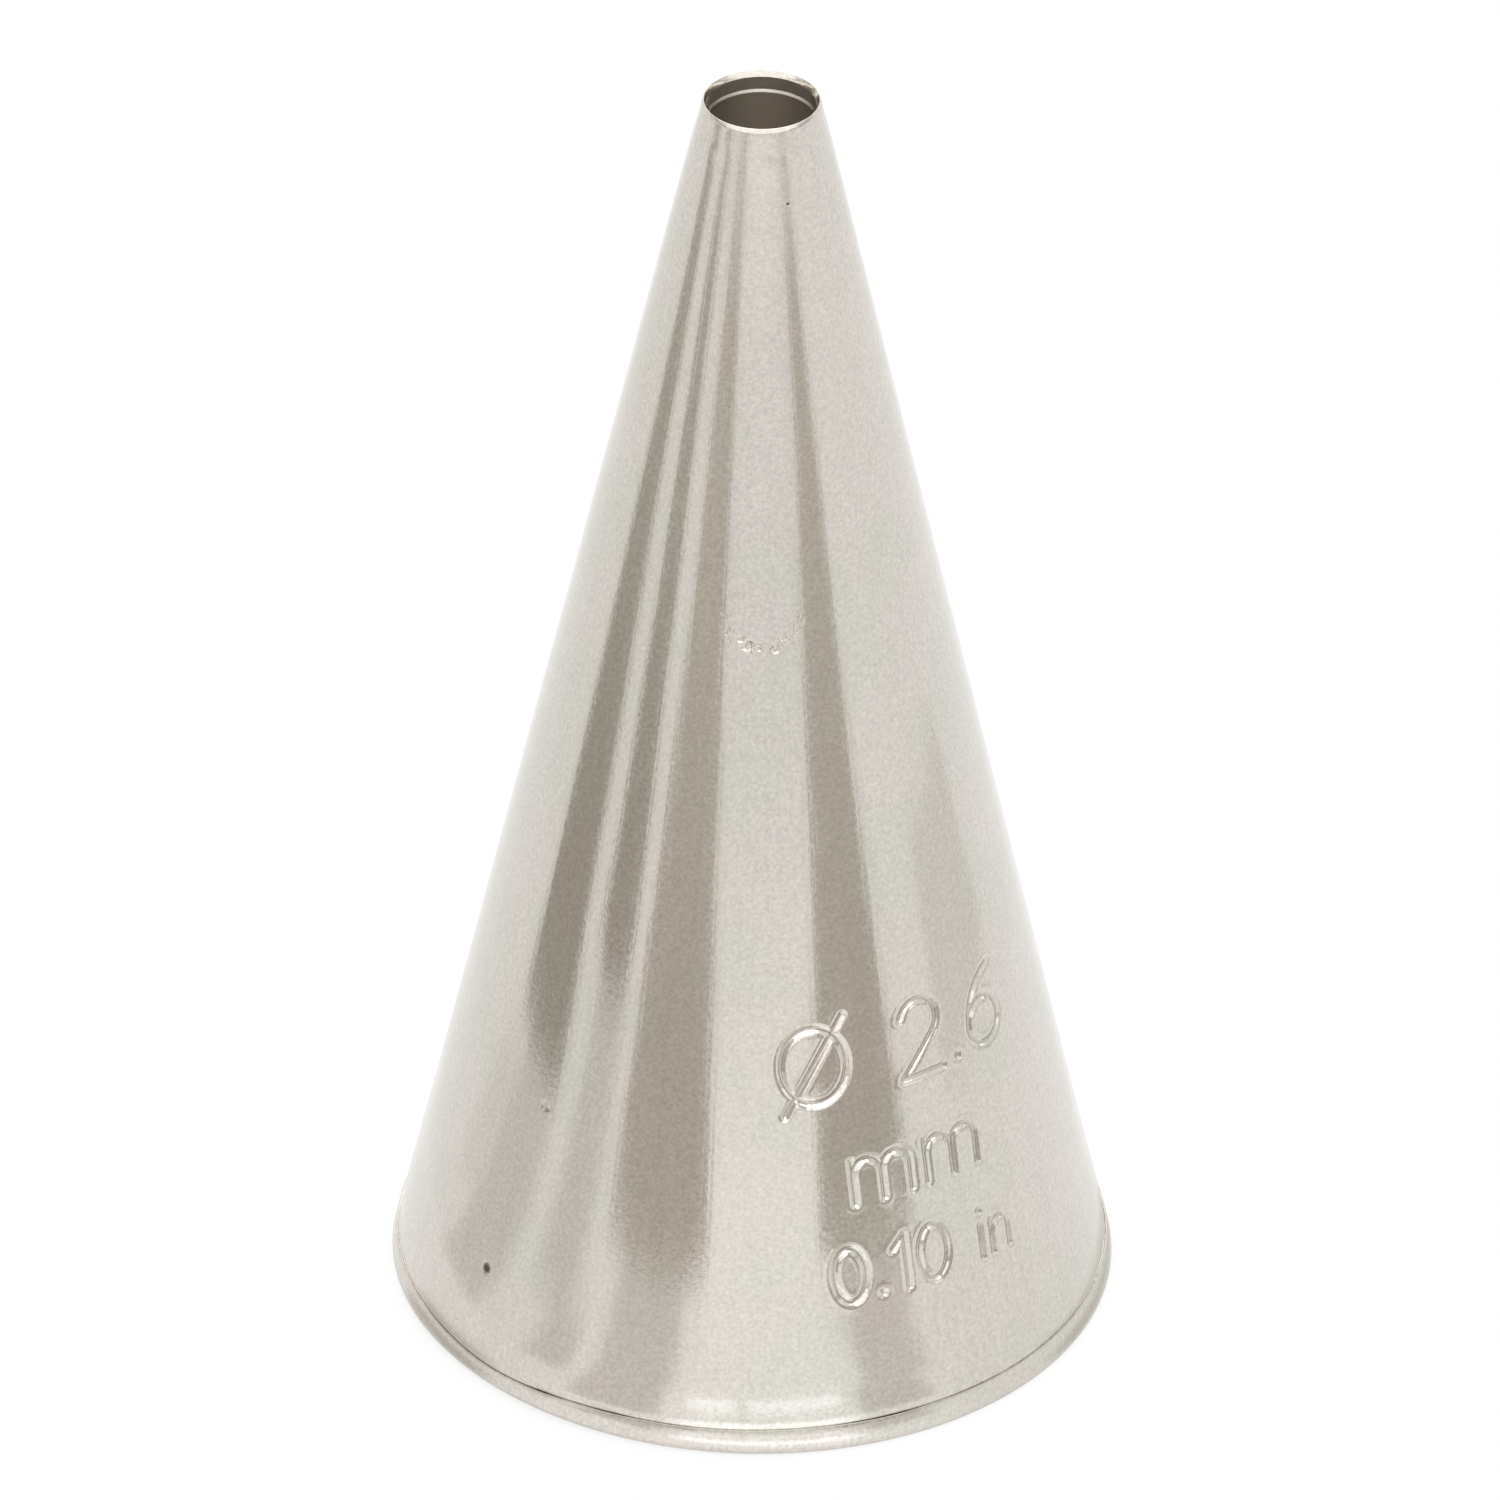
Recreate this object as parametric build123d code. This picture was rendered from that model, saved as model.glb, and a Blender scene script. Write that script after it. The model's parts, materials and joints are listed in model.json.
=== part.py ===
from build123d import *
import math
import os

# A piping nozzle: a small steel cone that shapes icing or cream into a round line.
# A fan-shaped blank of thin sheet is rolled into a cone, and its two straight edges are
# welded together. The wide end is folded outwards into a hem, and a straight punch is
# pushed through the narrow end, which sizes the round mouth and leaves a short land.
# +Z is up along the axis, from the table that the hem stands on to the mouth.
# All lengths are millimetres, and all angles are degrees.

# Driving sizes of the whole nozzle
height = 33.3  # from the table to the mouth
rim_diameter = 17.5  # over the hem, the widest place
bore_diameter = 2.6  # the mouth's opening
sheet = 0.2  # thickness of the steel sheet, square to its surface

# The mouth
lip_wall = 0.11  # metal that the punch leaves at the edge
lip_round = 0.04  # on the edge's inner and outer corners

# The hem: the cone's foot is upright, and the sheet turns outwards and back up against it
hem_height = 0.7  # from the table to the turned-up edge
hem_wall = 0.14  # the turned-up edge, pressed thinner than the rest of the sheet
hem_crevice = 0.03  # gap between the turned-up edge and the cone
hem_crevice_depth = 0.3  # how far down the gap is open
hem_top_round = 0.06  # on the turned-up edge's outer corner
foot_outer_round = 0.12  # where the fold meets the table, outside
foot_inner_round = 0.08  # and inside

# The welded seam
seam_angle = 18.0  # about +Z, from +X towards +Y
seam_width = 0.4
bead_margin = 0.03  # from the inner bead to each side of the seam
bead_proud = 0.05  # how far the bead stands out of the inner wall

# How far each cutting body runs past what it cuts
cut_overrun = 1.0

# Worked out from the sizes above
rim_radius = rim_diameter / 2
bore_radius = bore_diameter / 2
mouth_radius = bore_radius + lip_wall
foot_radius = rim_radius - hem_wall - hem_crevice
slope = (foot_radius - mouth_radius) / (height - hem_height)
half_angle = math.degrees(math.atan(slope))
wall_across = sheet / math.cos(math.radians(half_angle))
land_height = height - (wall_across - lip_wall) / slope
inner_bend_height = hem_height - (wall_across - sheet) / slope


def outer_radius(level):
    """The cone's outer radius at a height above the table."""
    return mouth_radius + (height - level) * slope


def inner_radius(level):
    """The cone's inner radius at a height above the table."""
    return outer_radius(level) - wall_across


def round_corner(face, corner, radius):
    """The face with the corner nearest to a point (radius, height) rounded off."""
    vertex = face.vertices().sort_by_distance(Vector(corner[0], 0, corner[1]))[0]
    return fillet(vertex, radius)


def wall_section():
    """Half of the cut through the axis: the wall, the hem and the sized mouth."""
    crevice_floor = hem_height - hem_crevice_depth
    foot_inner_radius = foot_radius - sheet
    mouth_inner = (bore_radius, height)
    mouth_outer = (mouth_radius, height)
    hem_edge_outer = (rim_radius, hem_height)
    foot_outer = (rim_radius, 0)
    foot_inner = (foot_inner_radius, 0)
    outline = Plane.XZ * Polyline(
        mouth_inner,
        mouth_outer,
        (foot_radius, hem_height),
        (foot_radius, crevice_floor),
        (foot_radius + hem_crevice, crevice_floor),
        (foot_radius + hem_crevice, hem_height),
        hem_edge_outer,
        foot_outer,
        foot_inner,
        (foot_inner_radius, inner_bend_height),
        (bore_radius, land_height),
        close=True,
    )
    section = make_face(outline)
    section = round_corner(section, mouth_inner, lip_round)
    section = round_corner(section, mouth_outer, lip_round)
    section = round_corner(section, hem_edge_outer, hem_top_round)
    section = round_corner(section, foot_outer, foot_outer_round)
    section = round_corner(section, foot_inner, foot_inner_round)
    return section


def closed_cone():
    """The wall turned all the way round, before the seam is told apart from the sheet."""
    return revolve(wall_section(), Axis.Z)


def seam_slab():
    """The flat slice, one seam wide, that runs out from the axis along the seam."""
    reach = rim_radius + cut_overrun
    slab = Box(reach, seam_width, height + 2 * cut_overrun)
    return Rot(0, 0, seam_angle) * Pos(reach / 2, 0, height / 2) * slab


def inner_bead():
    """The round bead that the weld leaves along the inside of the cone."""
    bead_radius = seam_width / 2 - bead_margin
    depth = bead_radius - bead_proud
    lean = math.radians(half_angle)
    # The centre line starts level with the table, and lies in the wall, parallel to it
    start = Vector(inner_radius(0) + depth * math.cos(lean), 0, depth * math.sin(lean))
    along = Vector(-math.sin(lean), 0, math.cos(lean))
    length = height / math.cos(lean)
    bead = extrude(Plane(origin=start, z_dir=along) * Circle(bead_radius), amount=length)
    # Only its inner half is needed. It is pressed flat below the top of the hem, and is
    # cut off level with the lip's round
    bottom = hem_height
    top = height - lip_round
    mid_wall = wall_across / 2
    inside = Cone(outer_radius(bottom) - mid_wall, outer_radius(top) - mid_wall, top - bottom)
    inside = Pos(0, 0, (bottom + top) / 2) * inside
    # The punch that sizes the mouth shears off what stands in its way
    punch = Pos(0, 0, height / 2) * Cylinder(bore_radius, height + 2 * cut_overrun)
    return Rot(0, 0, seam_angle) * (bead & inside) - punch


def cone_shell():
    """The rolled sheet: cone, hem and mouth, open along the seam."""
    return closed_cone() - seam_slab()


def seam_weld():
    """The weld metal that closes the seam, flush outside, with its bead inside."""
    return (closed_cone() & seam_slab()) + inner_bead()


def main():
    os.makedirs("parts", exist_ok=True)
    export_step(cone_shell(), "parts/cone_shell.step")
    export_step(seam_weld(), "parts/seam_weld.step")
    print("cone half angle", round(half_angle, 2), "degrees")
    print("land length", round(height - land_height, 3), "mm")
    print("inner radius at the foot", round(foot_radius - sheet, 3), "mm")


main()
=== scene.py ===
# %% [markdown]
# # A piping nozzle, dressed around its CAD model
#
# The nozzle is a cone of thin stainless sheet that is closed by one weld. The CAD model gives the size,
# and this lesson gives it the finish that a real one has: the sized mouth, the folded hem, the seam, the
# pressed size mark and the satin steel. Each piece is drawn, spun, cut and pushed into shape in turn.

# %% The frame
import json
import math

import bpy
import numpy as np
from mathutils import Matrix, Vector


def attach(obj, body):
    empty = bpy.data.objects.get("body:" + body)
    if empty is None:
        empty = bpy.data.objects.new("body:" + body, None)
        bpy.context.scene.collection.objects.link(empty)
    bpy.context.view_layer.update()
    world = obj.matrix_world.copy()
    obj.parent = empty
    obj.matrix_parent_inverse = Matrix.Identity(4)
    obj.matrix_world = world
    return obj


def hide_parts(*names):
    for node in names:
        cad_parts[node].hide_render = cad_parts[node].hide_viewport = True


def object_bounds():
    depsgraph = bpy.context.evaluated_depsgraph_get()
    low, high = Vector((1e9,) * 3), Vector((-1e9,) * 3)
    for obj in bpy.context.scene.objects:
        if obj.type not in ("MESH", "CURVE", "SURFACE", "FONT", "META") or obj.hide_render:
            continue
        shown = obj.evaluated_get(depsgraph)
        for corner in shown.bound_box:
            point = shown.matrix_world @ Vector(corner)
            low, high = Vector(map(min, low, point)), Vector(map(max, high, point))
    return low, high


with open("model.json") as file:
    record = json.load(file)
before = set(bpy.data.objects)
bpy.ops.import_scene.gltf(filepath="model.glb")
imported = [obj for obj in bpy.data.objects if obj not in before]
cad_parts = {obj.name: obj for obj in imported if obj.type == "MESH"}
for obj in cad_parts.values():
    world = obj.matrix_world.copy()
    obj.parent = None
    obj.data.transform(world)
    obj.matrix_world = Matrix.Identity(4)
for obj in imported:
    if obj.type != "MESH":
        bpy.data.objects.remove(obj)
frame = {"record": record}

cad_low, cad_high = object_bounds()
print("CAD box", [round(side * 1000, 2) for side in cad_high - cad_low], "mm")

# %% [markdown]
# ## Sizes
#
# Blender works in metres, so every size is a number of millimetres times `mm`. The height, the rim, the
# bore and the base opening are read from the frame, and the others are the sheet's own. Azimuths go round
# the axis: 0 is the side that the camera stands on, and positive ones are on its right.

# %% Sizes from the frame and of the sheet
mm = 0.001
mounts = {mount["name"]: mount for mount in frame["record"]["mounts"]}
height = cad_high.z
rim_radius = min(cad_high.x, cad_high.y, -cad_low.x, -cad_low.y)
bore_radius = mounts["mouth_bore"]["dims"]["r_mm"] * mm
foot_inner_radius = mounts["base_opening"]["dims"]["r_mm"] * mm

sheet = 0.2 * mm
foot_radius = foot_inner_radius + sheet
mouth_radius = bore_radius + 0.11 * mm
hem_height = 0.7 * mm
slope = (foot_radius - mouth_radius) / (height - hem_height)
half_angle = math.atan(slope)
wall_across = sheet / math.cos(half_angle)


def outer_radius(level):
    """The straight cone's outer radius at a height above the table."""
    return mouth_radius + (height - level) * slope


def toward(azimuth):
    """The level unit vector that points out at an azimuth, in degrees."""
    turn = math.radians(azimuth)
    return Vector((math.sin(turn), -math.cos(turn), 0))


print("half angle of the cone", round(math.degrees(half_angle), 2), "degrees")

# %% [markdown]
# ## The camera
#
# The camera is far away with a long lens, looks down at about 34 degrees and is rolled by half a degree.
# It is aimed so that one known point of the axis falls on the pixel where the photograph has it.

# %% The camera
photo_side = 1500
aim_pixel = (756.2, 737.1)
aim_height = 15 * mm
pixels_per_mm = 41.58
camera_distance = 800 * mm
camera_elevation = math.radians(33.905)
camera_roll = math.radians(0.497)
sensor = 36
clip_factor = 10

camera_data = bpy.data.cameras.new("camera")
camera = bpy.data.objects.new("camera", camera_data)
bpy.context.scene.collection.objects.link(camera)
bpy.context.scene.camera = camera
camera_data.sensor_width = sensor
camera_data.lens = sensor * pixels_per_mm * camera_distance / mm / photo_side
camera_data.clip_start = camera_distance / clip_factor
camera_data.clip_end = camera_distance * clip_factor

back = Vector((0, -math.cos(camera_elevation), math.sin(camera_elevation)))
level_up = Vector((0, math.sin(camera_elevation), math.cos(camera_elevation)))
right = Vector((1, 0, 0)) * math.cos(camera_roll) + level_up * math.sin(camera_roll)
up = back.cross(right)
known_point = Vector((0, 0, aim_height))
pixel = mm / pixels_per_mm
from_centre_right = (aim_pixel[0] - photo_side / 2) * pixel
from_centre_up = (photo_side / 2 - aim_pixel[1]) * pixel
aim_point = known_point - right * from_centre_right - up * from_centre_up
camera.location = known_point + back * camera_distance
look_back = (camera.location - aim_point).normalized()
look_right = up.cross(look_back).normalized()
look_up = look_back.cross(look_right)
camera.rotation_euler = Matrix((look_right, look_up, look_back)).transposed().to_euler()
print("lens", round(camera_data.lens, 1), "mm")

# %% [markdown]
# ## Shader maths as ordinary maths
#
# A material is a graph of nodes, and a graph of sums is hard to read. So one small class wraps a node's
# output: `a * b + 2` on two of them adds the Math nodes, and `node` adds any other node.


# %% A wrapped socket
class Wire:
    """A node's output. Operators on it add Math nodes to the same tree."""

    def __init__(self, tree, socket=None):
        self.tree = tree
        self.socket = socket

    def node(self, kind, settings=None, inputs=None, output=0):
        """A new shader node of a kind, with its settings set first and its sockets filled next."""
        made = self.tree.nodes.new("ShaderNode" + kind)
        for name, value in (settings or {}).items():
            setattr(made, name, value)
        for name, value in (inputs or {}).items():
            if isinstance(value, Wire):
                self.tree.links.new(value.socket, made.inputs[name])
            else:
                made.inputs[name].default_value = value
        return Wire(self.tree, made.outputs[output] if made.outputs else None)

    def maths(self, operation, *values):
        return self.node("Math", {"operation": operation}, dict(enumerate(values)))

    def __add__(self, other):
        return self.maths("ADD", self, other)

    def __sub__(self, other):
        return self.maths("SUBTRACT", self, other)

    def __rsub__(self, other):
        return self.maths("SUBTRACT", other, self)

    def __mul__(self, other):
        return self.maths("MULTIPLY", self, other)

    __radd__ = __add__

    def larger(self, other):
        return self.maths("MAXIMUM", self, other)

    def ease(self, low, high, to_low=0.0, to_high=1.0):
        """The value carried over smoothly from one range to another, and held at its ends."""
        ends = {"Value": self, "From Min": low, "From Max": high, "To Min": to_low, "To Max": to_high}
        return self.node("MapRange", {"interpolation_type": "SMOOTHSTEP"}, ends)

    def blend(self, first, second):
        """A colour between two colours, with this value as the factor."""
        return self.node("Mix", {"data_type": "RGBA"}, {0: self, 6: first, 7: second}, 2)

    def vector(self, operation, *vectors, output=0):
        settings = {"operation": operation}
        return self.node("VectorMath", settings, dict(enumerate(vectors)), output)


def new_tree(owner):
    """The emptied node tree of a new material or world, as a wire to start from."""
    owner.use_nodes = True
    owner.node_tree.nodes.clear()
    return Wire(owner.node_tree)


def new_material(name):
    """A new material, its tree as a wire to start from, and the Object coordinates."""
    material = bpy.data.materials.new(name)
    start = new_tree(material)
    return material, start, start.node("TexCoord", output="Object")


def surface(start, shader):
    start.node("OutputMaterial", inputs={"Surface": shader})


def grey(tree, level):
    return tree.node("CombineXYZ", inputs={0: level, 1: level, 2: level})


def height_in(tree, place):
    return tree.node("SeparateXYZ", inputs={0: place}, output=2)


print("reflected operators:", [name for name in vars(Wire) if name.startswith("__r")])

# %% [markdown]
# ## The studio
#
# The photograph's ground is plain white. The table is a pale floor that keeps the nozzle's soft shadow,
# because its own light is mixed with its lit colour. The world is white to the camera and in reflections.
# Seen from below, the floor is clear. The nozzle's lower half mirrors the table close by, whose own colour
# paints light and shade there: it is brighter in front, has painted pools of light, and painted shadows
# trail off on it from the feet of the dark things round it. Only reflections see those tones. Under the
# nozzle the floor's colour is a painted shadow, dark and warm, as the mouth shows.

# %% The world and the floor
fill_light = 0.23
floor_side = 4.0
floor_colour = (0.93, 0.93, 0.93, 1)
floor_own_share = 0.6
floor_extra_share = 0.22
white = (1, 1, 1, 1)
# Painted light on the floor in front: brighter close in, darker far off
front_near_painted_light = 0.22
front_far_painted_shade = -0.12
front_ramp = (0.6, 0.95)
far_ramp = (30 * mm, 140 * mm)
inner_shares = (0.98, 1.02)
outer_shares = (0.95, 1.05)
# Painted shadow: the floor's colour under the nozzle
painted_shadow_under_nozzle = (0.58, 0.52, 0.46, 1)
contact_width = 0.2 * mm
contact_shade = 0.85
# Tones of painted light and shade on the table, which only reflections see
left_painted_shade = (0.93, 0.93, 0.92, 1)
brown_shade = (0.66, 0.615, 0.58, 1)
weak_shade = (0.60, 0.57, 0.54, 1)
stray_shade = (0.80, 0.77, 0.74, 1)
lit_table = (2.05, 2.12, 2.2, 1)
very_lit_table = (2.15, 2.22, 2.3, 1)
half_lit_table = (1.40, 1.43, 1.46, 1)
right_shade = (0.50, 0.48, 0.42, 1)
left_shade = (0.45, 0.43, 0.39, 1)
far_painted_light = (1.20, 1.18, 1.19, 1)

# Pieces of ring on the table with painted light and shade: azimuth, half width, inner and outer radius in
# mm, softness in degrees, tone
table_tones = (
    (-105.0, 50, 13.0, 200, 30, left_painted_shade),
    (-29.0, 9.5, 11.2, 30, 4, brown_shade),
    (35.5, 8, 15.5, 30, 4, brown_shade),
    (31.0, 7.5, 11.2, 15.5, 4, brown_shade),
    (-57.0, 6, 20.0, 62, 4, weak_shade),
    (-49.0, 5, 13.0, 21, 4, weak_shade),
    (-92.0, 9, 17.0, 30, 8, stray_shade),
    (-80.0, 9, 13.0, 34, 5, weak_shade),
    (-8.5, 5.5, 13.2, 15, 1, lit_table),
    (9.7, 10.2, 13.2, 15, 1, lit_table),
    (3.0, 19, 9.2, 11.2, 8, half_lit_table),
    (3.0, 16, 9.9, 11.2, 8, very_lit_table),
    (85.0, 24, 8.9, 9.4, 10, right_shade),
    (-64.0, 12, 8.9, 9.6, 10, left_shade),
    (0.0, 22, 197, 700, 20, far_painted_light),
)


def is_ray(tree, kind):
    return tree.node("LightPath", output=f"Is {kind} Ray")


def seen_directly(tree):
    """1 for the camera's own rays and for those that metal or glass sends on, and 0 for the rest."""
    return is_ray(tree, "Camera").larger(is_ray(tree, "Glossy")).larger(is_ray(tree, "Transmission"))


world = bpy.data.worlds.new("studio")
bpy.context.scene.world = world
start = new_tree(world)
strength = seen_directly(start) * (1 - fill_light) + fill_light
sky = start.node("Background", inputs={"Color": white, "Strength": strength})
start.node("OutputWorld", inputs={"Surface": sky})


def reflected_table(tree, place, from_axis):
    """The floor's own colour as reflections see it, with painted light and shade."""
    outward = tree.vector("NORMALIZE", place)
    front = tree.vector("DOT_PRODUCT", outward, tuple(toward(0)), output=1).ease(*front_ramp)
    near = 1 - from_axis.ease(*far_ramp)
    # Painted light: brighter in front close in, a little darker far off in front.
    level = 1 + front * (near * (front_near_painted_light - front_far_painted_shade) + front_far_painted_shade)
    # A painted contact shadow next to the rim.
    level = level * from_axis.ease(rim_radius, rim_radius + contact_width, contact_shade, 1.0)
    tone = grey(tree, level)
    for azimuth, half_width, inner, outer, softness, colour in table_tones:
        facing = tree.vector("DOT_PRODUCT", outward, tuple(toward(azimuth)), output=1)
        outside = math.cos(math.radians(half_width + softness / 2))
        inside = math.cos(math.radians(max(half_width - softness / 2, 0)))
        beyond = from_axis.ease(*(inner * share * mm for share in inner_shares))
        within = 1 - from_axis.ease(*(outer * share * mm for share in outer_shares))
        tone = (facing.ease(outside, inside) * beyond * within).blend(tone, colour)
    # Under the nozzle the floor's colour is a painted shadow.
    return from_axis.ease(foot_inner_radius, foot_radius).blend(painted_shadow_under_nozzle, tone)


def named(name):
    made = bpy.context.object
    made.name = name
    return made


def floor_material():
    """Pale and dull, with its own white light for the camera and its own tones of painted light and shade
    for reflections.
    """
    material, start, place = new_material("pale_floor")
    from_axis = start.vector("LENGTH", place, output=1)
    camera_ray = is_ray(start, "Camera")
    colour = camera_ray.blend(reflected_table(start, place, from_axis), white)
    lit = start.node("BsdfDiffuse", inputs={"Color": floor_colour})
    own = start.node("Emission", inputs={"Color": colour})
    share = seen_directly(start) * floor_own_share + camera_ray * floor_extra_share
    top = start.node("MixShader", inputs={0: share, 1: lit, 2: own})
    below = start.node("NewGeometry", output="Backfacing")
    clear = start.node("BsdfTransparent")
    surface(start, start.node("MixShader", inputs={0: below, 1: top, 2: clear}))
    return material


bpy.ops.mesh.primitive_plane_add(size=floor_side)
floor = named("floor")
floor.data.materials.append(floor_material())
print("floor", floor_side, "m square")

# %% [markdown]
# ## What the steel sees
#
# Bare metal shows its surroundings, so they are half of its finish. One large soft lamp hangs over the
# set, long enough from front to back to whiten the lip and the top of the hem. The long dark bands on the
# nozzle are reflections of upright grey cards that stand round it. Only reflections see a card: it neither
# lights nor shades, and the camera looks through it.

# %% The lamp
lamp_size = (1.2, 1.8)
lamp_height = 0.6
lamp_radiance = 1.5

lamp_data = bpy.data.lights.new("overhead", "AREA")
lamp_data.shape = "RECTANGLE"
lamp_data.size, lamp_data.size_y = lamp_size
lamp_data.energy = lamp_radiance * math.pi * lamp_size[0] * lamp_size[1]
lamp = bpy.data.objects.new("overhead", lamp_data)
lamp.location = (0, 0, lamp_height)
lamp.visible_camera = False
bpy.context.scene.collection.objects.link(lamp)
print("lamp", round(lamp_data.energy, 1), "W")


# %% The grey cards
def deselect():
    """Nothing is selected, so that the next operator acts only on what comes after this."""
    bpy.ops.object.select_all(action="DESELECT")


def glow(name, low_colour, high_colour, faded=0.0):
    """A material that only shines. Its colour changes with height, and can fade to a paler one above."""
    material, start, place = new_material(name)
    level = height_in(start, place)
    colour = level.ease(*change_levels).blend((*low_colour, 1), (*high_colour, 1))
    colour = level.ease(*fade_levels, 0.0, faded).blend(colour, faded_colour)
    surface(start, start.node("Emission", inputs={"Color": colour}))
    return material


def only_in_reflections(thing):
    thing.visible_camera = False
    thing.visible_diffuse = False
    thing.visible_shadow = False
    thing.visible_transmission = False


def card(name, azimuth, half_widths, levels, colours, foot=0.0, faded=0.0):
    """An upright card that faces the axis. Half widths, in degrees, levels and colours: foot, then top.

    Its foot can be rounded: its two lower corners are then raised by that much. Its top can be faded.
    """
    deselect()
    bpy.ops.mesh.primitive_grid_add(x_subdivisions=card_columns, y_subdivisions=1, size=2)
    made = named(name)
    low, high = [card_distance * math.tan(math.radians(width)) for width in half_widths]
    turned = Matrix.Rotation(math.radians(azimuth), 4, "Z")
    for point in made.data.vertices:
        across = point.co.x
        raised = foot * (1 - math.sqrt(max(1 - across * across, 0)))
        place = (high * across, levels[1]) if point.co.y > 0 else (low * across, levels[0] + raised)
        point.co = turned @ Vector((place[0], -card_distance, place[1]))
    made.data.materials.append(glow(name, *colours, faded))
    only_in_reflections(made)
    return made


card_columns = 24
card_distance = 30 * mm
card_top = 31 * mm
change_levels = (5 * mm, 24 * mm)
fade_levels = (24 * mm, 28 * mm)
warm_grey = (0.585, 0.545, 0.495)
light_warm_grey = (0.66, 0.62, 0.57)
dark_grey = (0.445, 0.42, 0.375)
middle_grey = (0.56, 0.53, 0.48)
pale_grey = (0.895, 0.885, 0.865)
faded_colour = (1.0, 0.99, 0.97, 1)
dark = (dark_grey, middle_grey)
warm = (warm_grey, light_warm_grey)
cards = [
    card("far_left_card", -83, (13, 4.5), (1.2 * mm, card_top), dark, faded=0.3),
    card("left_card", -56, (7.5, 4.2), (5.6 * mm, card_top), dark, foot=1.5 * mm, faded=0.4),
    card("middle_card", -29, (16, 5), (0, card_top), warm, foot=0.5 * mm, faded=0.5),
    card("right_card", 35.8, (15.3, 4.2), (0, card_top), warm, foot=0.5 * mm, faded=0.75),
    card("far_right_card", 87, (18, 14), (1.5 * mm, 8.2 * mm), (pale_grey, pale_grey)),
]
print("cards", [thing.name for thing in cards])

# %% [markdown]
# Far off, between the table's edge and the lamp, a studio is dim. That dim band, a plain ring wall, draws
# the thin dark line under the lip and along every groove of the mark. In front and behind, a tall white
# card takes the lamp's white further down, so that white lies right beside dark. Only reflections see them.

# %% The dim surroundings
ring_distance = 1.2
ring_low = math.radians(2.5)
ring_high = math.radians(7)
ring_grey = (0.52, 0.50, 0.47)
ring_sides = 96

ring_bottom = ring_distance * math.tan(ring_low)
ring_top = ring_distance * math.tan(ring_high)
deselect()
bpy.ops.mesh.primitive_cylinder_add(
    vertices=ring_sides,
    radius=ring_distance,
    depth=ring_top - ring_bottom,
    end_fill_type="NOTHING",
    location=(0, 0, (ring_bottom + ring_top) / 2),
)
ring = named("surroundings")
ring.data.materials.append(glow("surroundings", ring_grey, ring_grey))
only_in_reflections(ring)
print("dim band up to", round(ring_top, 2), "m")

# %% The white cards in front and behind
white_distance = 1.0
white_half_width = 2.4
white_high = math.radians(38)
back_card_low = math.radians(12)
white_radiance = 1.5


def white_card(name, away, low_elevation):
    """A tall card brighter than the table, in front (away is -1) or behind (away is 1)."""
    deselect()
    bpy.ops.mesh.primitive_plane_add(size=2, rotation=(math.pi / 2, 0, 0))
    made = named(name)
    bpy.ops.object.transform_apply(rotation=True)
    for point in made.data.vertices:
        elevation = white_high if point.co.z > 0 else low_elevation
        across = math.copysign(white_half_width, point.co.x)
        level = white_distance * math.tan(elevation)
        point.co = Vector((across, away * white_distance, level))
    card_white = (white_radiance,) * 3
    made.data.materials.append(glow(name, card_white, card_white))
    only_in_reflections(made)
    return made


white_cards = [
    white_card("front_white_card", -1, ring_high),
    white_card("back_white_card", 1, back_card_low),
]
print("white cards", [thing.name for thing in white_cards])

# %% [markdown]
# ## Choosing points and faces
#
# An operator acts on what is selected, so the pieces below are made by choosing points or faces by place
# and calling the operator.


# %% Choosing
def take(piece):
    """The piece alone is selected and active."""
    deselect()
    piece.select_set(True)
    bpy.context.view_layer.objects.active = piece


def edit(piece):
    take(piece)
    bpy.ops.object.mode_set(mode="EDIT")


def leave_edit():
    bpy.ops.object.mode_set(mode="OBJECT")


def places(piece):
    """The places of all points of a piece, one row each."""
    found = np.empty(len(piece.data.vertices) * 3)
    piece.data.vertices.foreach_get("co", found)
    return found.reshape(-1, 3)


def move_to(piece, spots):
    piece.data.vertices.foreach_set("co", spots.ravel())
    piece.data.update()


def radii_of(spots):
    return np.hypot(spots[:, 0], spots[:, 1])


def centres(piece):
    found = np.empty(len(piece.data.polygons) * 3)
    piece.data.polygons.foreach_get("center", found)
    return found.reshape(-1, 3)


def choose(piece, points=None, faces=None):
    """Opens the piece in edit mode with some of its points or faces selected."""
    mesh = piece.data
    by_faces = faces is not None
    for parts in (mesh.vertices, mesh.edges, mesh.polygons):
        parts.foreach_set("select", np.zeros(len(parts), bool))
    if by_faces:
        mesh.polygons.foreach_set("select", np.ascontiguousarray(faces, bool))
    else:
        mesh.vertices.foreach_set("select", np.ascontiguousarray(points, bool))
    edit(piece)
    bpy.ops.mesh.select_mode(type="FACE" if by_faces else "VERT")


def nearest(piece, radius, level):
    """The drawn line's point nearest to a radius and a height, as an array of true and false."""
    away = np.linalg.norm(places(piece) - (radius, 0, level), axis=1)
    chosen = np.zeros(len(away), bool)
    chosen[away.argmin()] = True
    return chosen


def draw(name, corners):
    """A line of corners (radius, height), drawn by extruding one point again and again."""
    deselect()
    bpy.ops.mesh.primitive_plane_add(size=mm)
    line = named(name)
    edit(line)
    bpy.ops.mesh.select_mode(type="VERT")
    bpy.ops.mesh.select_all(action="SELECT")
    bpy.ops.mesh.merge(type="CENTER")
    bpy.ops.transform.translate(value=(corners[0][0], 0, corners[0][1]))
    for last, corner in zip(corners, corners[1:]):
        step = (corner[0] - last[0], 0, corner[1] - last[1])
        bpy.ops.mesh.extrude_region_move(TRANSFORM_OT_translate={"value": step})
    leave_edit()
    return line


def choose_two(line, one, other):
    choose(line, points=nearest(line, *one) | nearest(line, *other))


def round_off(line, corner, radius, segments):
    choose(line, points=nearest(line, *corner))
    bpy.ops.mesh.bevel(offset=radius, segments=segments, affect="VERTICES")
    leave_edit()


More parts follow.
